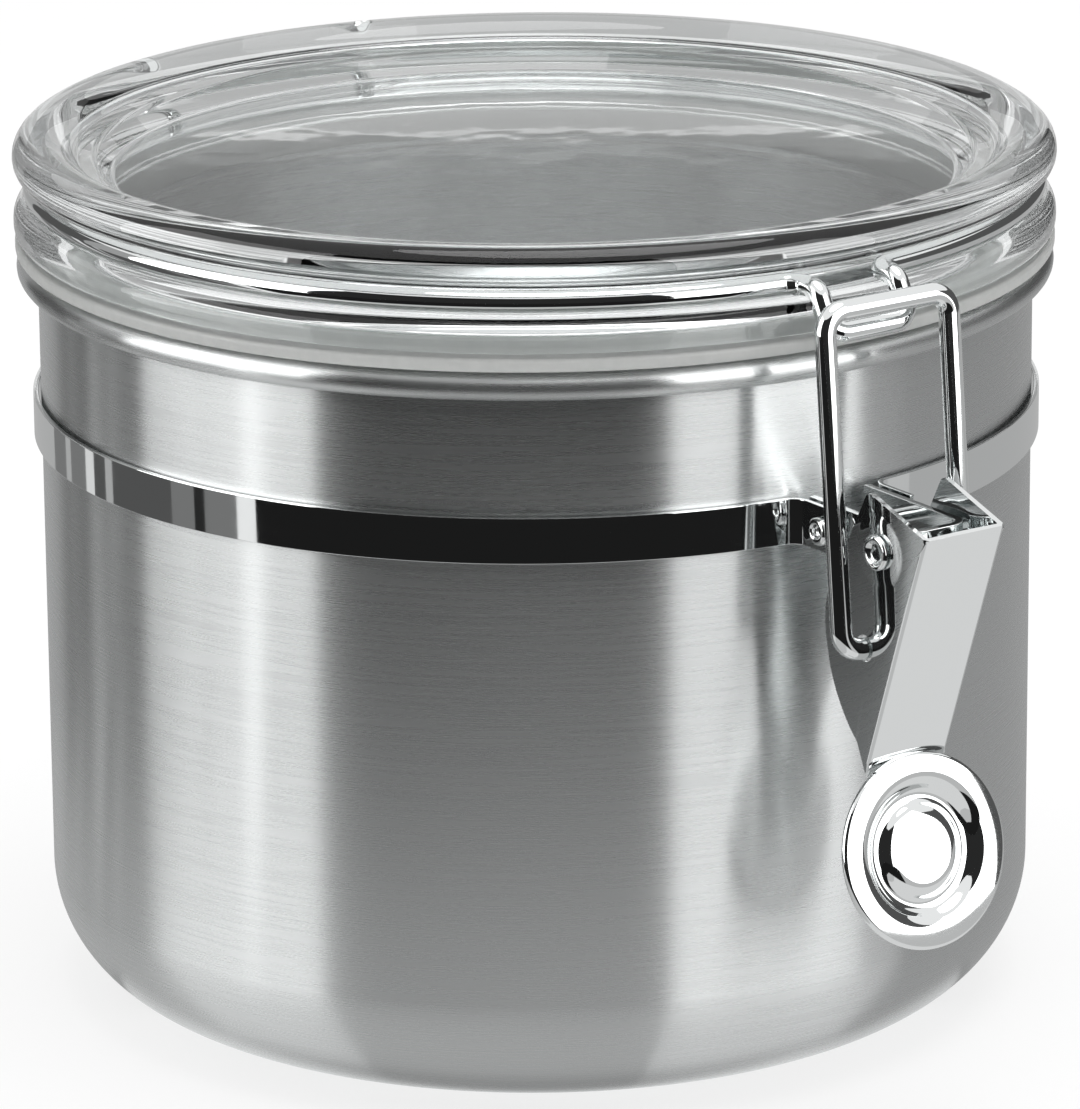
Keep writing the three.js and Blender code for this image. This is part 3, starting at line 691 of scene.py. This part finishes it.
bm = draw_outline(LEVER_SIDE, across=(0, -1, 0), closed=True)
fold_ends = [latch_place(0, point) for point in LEVER_SIDE[:2]]
fold = min(bm.edges, key=lambda edge: sum(
    min((end.co - place).length for end in edge.verts) for place in fold_ends))
boss = start_wire(bm, latch_place(0, PIVOT), PIVOT_BOSS[0][0])
start_wire(bm, latch_place(0, LOOP_PIVOT), LOOP_HOLE)
bmesh.ops.triangle_fill(bm, use_beauty=True, edges=bm.edges[:])
at_pivot = Matrix.Translation(-latch_place(0, PIVOT))
for (outer, _), (inner, rise) in zip(PIVOT_BOSS, PIVOT_BOSS[1:]):
    boss = push(bm, boss, (rise, 0, 0))
    ends = list({end for edge in boss for end in edge.verts})
    bmesh.ops.scale(bm, vec=(1, inner / outer, inner / outer), verts=ends, space=at_pivot)
bmesh.ops.translate(bm, verts=bm.verts, vec=(LEVER_HALF_WIDTH, 0, 0))
push(bm, [fold], (-LEVER_HALF_WIDTH, 0, 0))
bmesh.ops.bevel(bm, geom=[fold], offset=LEVER_FOLD, offset_type="OFFSET", affect="EDGES", segments=6,
                profile=0.5, material=-1)
channel = soften(thicken(mirror_half(bm), LEVER_SHEET, LEVER_FACING), LEVER_EDGE)
tab_back = [(max(radius - TAB_BACK_INSET, 0), height - TAB_SHEET, rounding)
            for radius, height, rounding in TAB_FACE[:-1]]
tab = turn(draw_outline(TAB_FACE + tab_back[::-1]), TAB_STEPS)
facing = Matrix.Rotation(math.pi / 2 - TAB_TILT, 3, "X")
bmesh.ops.rotate(tab, verts=tab.verts, cent=(0, 0, 0), matrix=facing)
bmesh.ops.translate(tab, verts=tab.verts, vec=latch_place(0, TAB_CENTRE))
lever = add_piece("thumb_lever", join(channel, tab), chrome)
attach(lever, "lever")
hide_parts("latch_lever")


# Pivot pin: a chromed tubular rivet through the lever and its bracket, rolled over into a ring on each
# side. It turns with the lever.
PIVOT_SHANK = 1.5
PIVOT_HEAD = 2.0
PIVOT_HEIGHT = 0.55
PIVOT_SINK = 1.3
PIVOT_START = 5.65
bm = cross_rivet(latch_place(0, PIVOT), PIVOT_SHANK, PIVOT_HEAD, PIVOT_START, PIVOT_HEIGHT, PIVOT_SINK)
pin = add_piece("pivot_rivet", bm, chrome)
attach(pin, "lever")
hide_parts("lever_pivot_pin")


# Loop: a chromed wire bent to a tall loop; its ends turn in through the lever and its top bar hooks over
# the nose of the ring wire.
LOOP_TOP = (66.4, 94.3)
LOOP_HALF_WIDTH = 8.4
LOOP_END = 3.9
LOOP_BEND = 2.4

bm = bmesh.new()
wire = start_wire(bm, latch_place(0, LOOP_TOP), WIRE_RADIUS)
wire = follow(bm, wire, latch_place(0, LOOP_TOP), [
    latch_place(LOOP_HALF_WIDTH, LOOP_TOP),
    latch_place(LOOP_HALF_WIDTH, LOOP_PIVOT),
    latch_place(LOOP_END, LOOP_PIVOT),
], [LOOP_BEND, LOOP_BEND])
cap_wire(bm, wire)
loop = add_piece("hook_loop", mirror_half(bm), chrome)
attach(loop, "loop")
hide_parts("latch_loop")


# Studio: a white floor, a soft lamp overhead and a white surround. Cards from white to dark stand where only
# mirrors and glass see them, so that the steel and the lid have something to reflect. The view is given by
# its angles, its distance from the point it circles and how far that point is from the picture's middle.
VIEW_AZIMUTH = math.radians(-34.7)
VIEW_ELEVATION = math.radians(16.78)
VIEW_DISTANCE = 851.4
VIEW_ROLL = math.radians(-0.45)
VIEW_TARGET = Vector((0, 0, 50.44))
VIEW_RIGHT = 0.29
VIEW_DOWN = 0.72
LENS = 237.03
SENSOR = 36.0

# Floor paint: matt white, lit as any surface but lifted to white where camera, mirrors and glass see it.
FLOOR_LIFT = 0.75
FLOOR_RADIUS = 4000
FLOOR_DROP = 0.05
floor_paint, tree = start_material("matt_white_floor")
lit = add_node(tree, "ShaderNodeBsdfPrincipled", {"Base Color": linear("#FAFAFA"), "Roughness": 0.9})
glow = add_node(tree, "ShaderNodeEmission", {"Color": linear("#FFFFFF"), "Strength": 1.0})
path = add_node(tree, "ShaderNodeLightPath", {})
seen = add_node(tree, "ShaderNodeMath", {
    0: path.outputs["Is Camera Ray"], 1: path.outputs["Is Glossy Ray"],
}, operation="ADD")
seen = add_node(tree, "ShaderNodeMath", {
    0: seen.outputs[0], 1: path.outputs["Is Transmission Ray"],
}, operation="ADD", use_clamp=True)
lifted = add_node(tree, "ShaderNodeMath", {0: seen.outputs[0], 1: FLOOR_LIFT}, operation="MULTIPLY")
paint = add_node(tree, "ShaderNodeMixShader", {
    0: lifted.outputs[0], 1: lit.outputs["BSDF"], 2: glow.outputs["Emission"],
})
add_node(tree, "ShaderNodeOutputMaterial", {"Surface": paint.outputs["Shader"]})
bm = bmesh.new()
bmesh.ops.create_circle(bm, cap_ends=True, radius=FLOOR_RADIUS, segments=64)
bmesh.ops.translate(bm, verts=bm.verts, vec=(0, 0, -FLOOR_DROP))
floor = add_piece("studio_floor", bm, floor_paint)


# Cards ring the object on the floor and upright, seen only by mirrors and, where they aren't dark, by glass.
# A ring is a profile of (distance from the can's wall, height) and its cards. A card fills what the wall
# mirrors to the camera between two angles of the wall, counted from the camera's side, positive to the right
# of the picture. Each is (angle where it starts, paper, strength) and runs to the next, those behind the can
# straight across. The two upright softboxes beside the camera are brighter than the surround. The lid's
# clear middle mirrors the back cards, light below and grey above with a bright edge between them.
CARD_LIFT = 0.6
CARD_STEPS = 12
CONTACT_SHADOW_START = -8
NEAR_START = -4
FAR_START = 100
UPRIGHT = 650
LOW_TOP = 380
TALL_TOP = 750
BACK_SPLIT = 240
BACK_EDGE = 1
BEHIND = 80
DARKEST_IN_GLASS = 0.21
WHITE = "#FFFFFF"
PALE = "#E6E6E6"
SOFT = "#C8C8C8"
LIGHT = "#B6B6B6"
MID = "#A8A8A8"
GREY = "#7E7E7E"
DIM = "#585858"
DARK = "#2C2C2C"
BLACK = "#1E1E1E"
CARD_RINGS = {
    # Painted shadow: this grey band on the floor round the can's foot stands in for the can's contact
    # shadow, which the lifted floor paint doesn't show where the steel mirrors it.
    "painted_contact_shadow_card": (((CONTACT_SHADOW_START, CARD_LIFT), (NEAR_START, CARD_LIFT)), [
        (-BEHIND, LIGHT, 1),
        (-24.5, MID, 1),
        (14.5, LIGHT, 1),
        (45, MID, 1),
        (BEHIND, MID, 1),
        (360 - BEHIND, None, 0),
    ]),
    "near_floor_card": (((NEAR_START, CARD_LIFT), (FAR_START, CARD_LIFT)), [
        (-BEHIND, SOFT, 1),
        (-48.5, PALE, 1),
        (-24.5, SOFT, 1),
        (14.5, PALE, 1),
        (45, LIGHT, 1),
        (BEHIND, LIGHT, 1),
        (360 - BEHIND, None, 0),
    ]),
    "far_floor_card": (((FAR_START, CARD_LIFT), (UPRIGHT, CARD_LIFT)), [
        (-BEHIND, LIGHT, 1),
        (-70, GREY, 1),
        (-66, LIGHT, 1),
        (-64.5, GREY, 1),
        (-60.5, PALE, 1),
        (-58.5, DIM, 1),
        (-56, LIGHT, 1),
        (-54.5, DIM, 1),
        (-44, GREY, 1),
        (-40.5, DARK, 1),
        (-39, GREY, 1),
        (-34.5, WHITE, 1),
        (-32, BLACK, 1),
        (23.5, SOFT, 1),
        (45, LIGHT, 1),
        (BEHIND, LIGHT, 1),
        (360 - BEHIND, None, 0),
    ]),
    "tall_card": (((UPRIGHT, CARD_LIFT), (UPRIGHT, TALL_TOP)), [
        (-48.5, WHITE, 3),
        (-24.5, DARK, 1),
        (14.5, WHITE, 3),
        (37.5, None, 0),
    ]),
    "left_low_card": (((UPRIGHT, CARD_LIFT), (UPRIGHT, LOW_TOP)), [
        (-BEHIND, MID, 1),
        (-72, DIM, 1),
        (-57, MID, 1),
        (-48.5, None, 0),
    ]),
    "right_low_card": (((UPRIGHT, CARD_LIFT), (UPRIGHT, LOW_TOP)), [
        (37.5, DIM, 1),
        (BEHIND, None, 0),
    ]),
    "back_low_card": (((UPRIGHT, CARD_LIFT), (UPRIGHT, BACK_SPLIT)), [
        (BEHIND, PALE, 1),
        (360 - BEHIND, None, 0),
    ]),
    "back_edge_card": (((UPRIGHT, BACK_SPLIT), (UPRIGHT, BACK_SPLIT + BACK_EDGE)), [
        (BEHIND, WHITE, 1.5),
        (360 - BEHIND, None, 0),
    ]),
    "back_high_card": (((UPRIGHT, BACK_SPLIT + BACK_EDGE), (UPRIGHT, LOW_TOP)), [
        (BEHIND, MID, 1),
        (360 - BEHIND, None, 0),
    ]),
}


def mirrored(angle):
    """Frame on the can's wall at an angle, its -Y axis along the camera's sight line as mirrored there."""
    slant = math.atan2(BODY_RADIUS * math.sin(angle), VIEW_DISTANCE - BODY_RADIUS * math.cos(angle))
    on_wall = Matrix.Rotation(VIEW_AZIMUTH + angle, 4, "Z") @ Matrix.Translation((0, -BODY_RADIUS, 0))
    return on_wall @ Matrix.Rotation(angle + slant, 4, "Z")


for ring, (profile, cards) in CARD_RINGS.items():
    for (start, paper, strength), (end, _, _) in zip(cards, cards[1:]):
        paint, tree = start_material(ring + "_paint")
        glow = add_node(tree, "ShaderNodeEmission", {"Color": linear(paper), "Strength": strength})
        add_node(tree, "ShaderNodeOutputMaterial", {"Surface": glow.outputs["Emission"]})
        bm = bmesh.new()
        side = [bm.verts.new((0, -distance, height)) for distance, height in profile]
        strip = [bm.edges.new(side)]
        bmesh.ops.transform(bm, matrix=mirrored(math.radians(start)), verts=side)
        steps = 1 if start == BEHIND else CARD_STEPS
        for step in range(steps):
            turned = [math.radians(start + (end - start) * part / steps) for part in (step, step + 1)]
            strip = push(bm, strip, (0, 0, 0))
            moved = mirrored(turned[1]) @ mirrored(turned[0]).inverted()
            bmesh.ops.transform(bm, matrix=moved, verts=list(strip[0].verts))
        card = add_piece(ring, bm, paint)
        card.visible_camera = False
        card.visible_diffuse = False
        card.visible_shadow = False
        card.visible_transmission = linear(paper)[0] > DARKEST_IN_GLASS

# The softbox is a disc of light well above the can, in metres and watts.
LAMP_PLACE = (0.1, -0.1, 1.2)
LAMP_SIZE = 0.9
LAMP_POWER = 6.0
lamp = bpy.data.lights.new("overhead_softbox", "AREA")
lamp.shape = "DISK"
lamp.size = LAMP_SIZE
lamp.energy = LAMP_POWER
lamp_object = bpy.data.objects.new("overhead_softbox", lamp)
lamp_object.location = LAMP_PLACE
scene.collection.objects.link(lamp_object)

# The surround is white where it is seen and lights the object a little less than that.
SURROUND_LIGHT = 0.8
world = bpy.data.worlds.new("white_surround")
scene.world = world
world.use_nodes = True
tree = world.node_tree
tree.nodes.clear()
path = add_node(tree, "ShaderNodeLightPath", {})
seen = add_node(tree, "ShaderNodeMath", {
    0: path.outputs["Is Camera Ray"], 1: path.outputs["Is Glossy Ray"],
}, operation="ADD")
seen = add_node(tree, "ShaderNodeMath", {
    0: seen.outputs[0], 1: path.outputs["Is Transmission Ray"],
}, operation="ADD", use_clamp=True)
level = add_node(tree, "ShaderNodeMapRange", {
    "Value": seen.outputs[0], "To Min": SURROUND_LIGHT, "To Max": 1.0,
})
surround = add_node(tree, "ShaderNodeBackground", {
    "Color": linear("#FFFFFF"), "Strength": level.outputs["Result"],
})
add_node(tree, "ShaderNodeOutputWorld", {"Surface": surround.outputs["Background"]})

camera = bpy.data.cameras.new("photo_camera")
camera.lens = LENS
camera.sensor_width = SENSOR
camera.clip_start = 0.01
camera_object = bpy.data.objects.new("photo_camera", camera)
scene.collection.objects.link(camera_object)
towards = Vector((math.sin(VIEW_AZIMUTH) * math.cos(VIEW_ELEVATION),
                  -math.cos(VIEW_AZIMUTH) * math.cos(VIEW_ELEVATION),
                  math.sin(VIEW_ELEVATION)))
turned = (-towards).to_track_quat("-Z", "Y").to_matrix()
aim = VIEW_TARGET + turned @ Vector((VIEW_RIGHT, -VIEW_DOWN, 0))
looking = (VIEW_TARGET + VIEW_DISTANCE * towards - aim).normalized()
turned = (-looking).to_track_quat("-Z", "Y").to_matrix() @ Matrix.Rotation(VIEW_ROLL, 3, "Z")
stand = (VIEW_TARGET + VIEW_DISTANCE * towards) * MM
camera_object.matrix_world = Matrix.Translation(stand) @ turned.to_4x4()
scene.camera = camera_object
scene.view_settings.view_transform = "Standard"
# Light runs a long way inside the clear lid, so paths may bounce more often than by default.
scene.cycles.max_bounces = 24
scene.cycles.glossy_bounces = 16
scene.cycles.transmission_bounces = 24
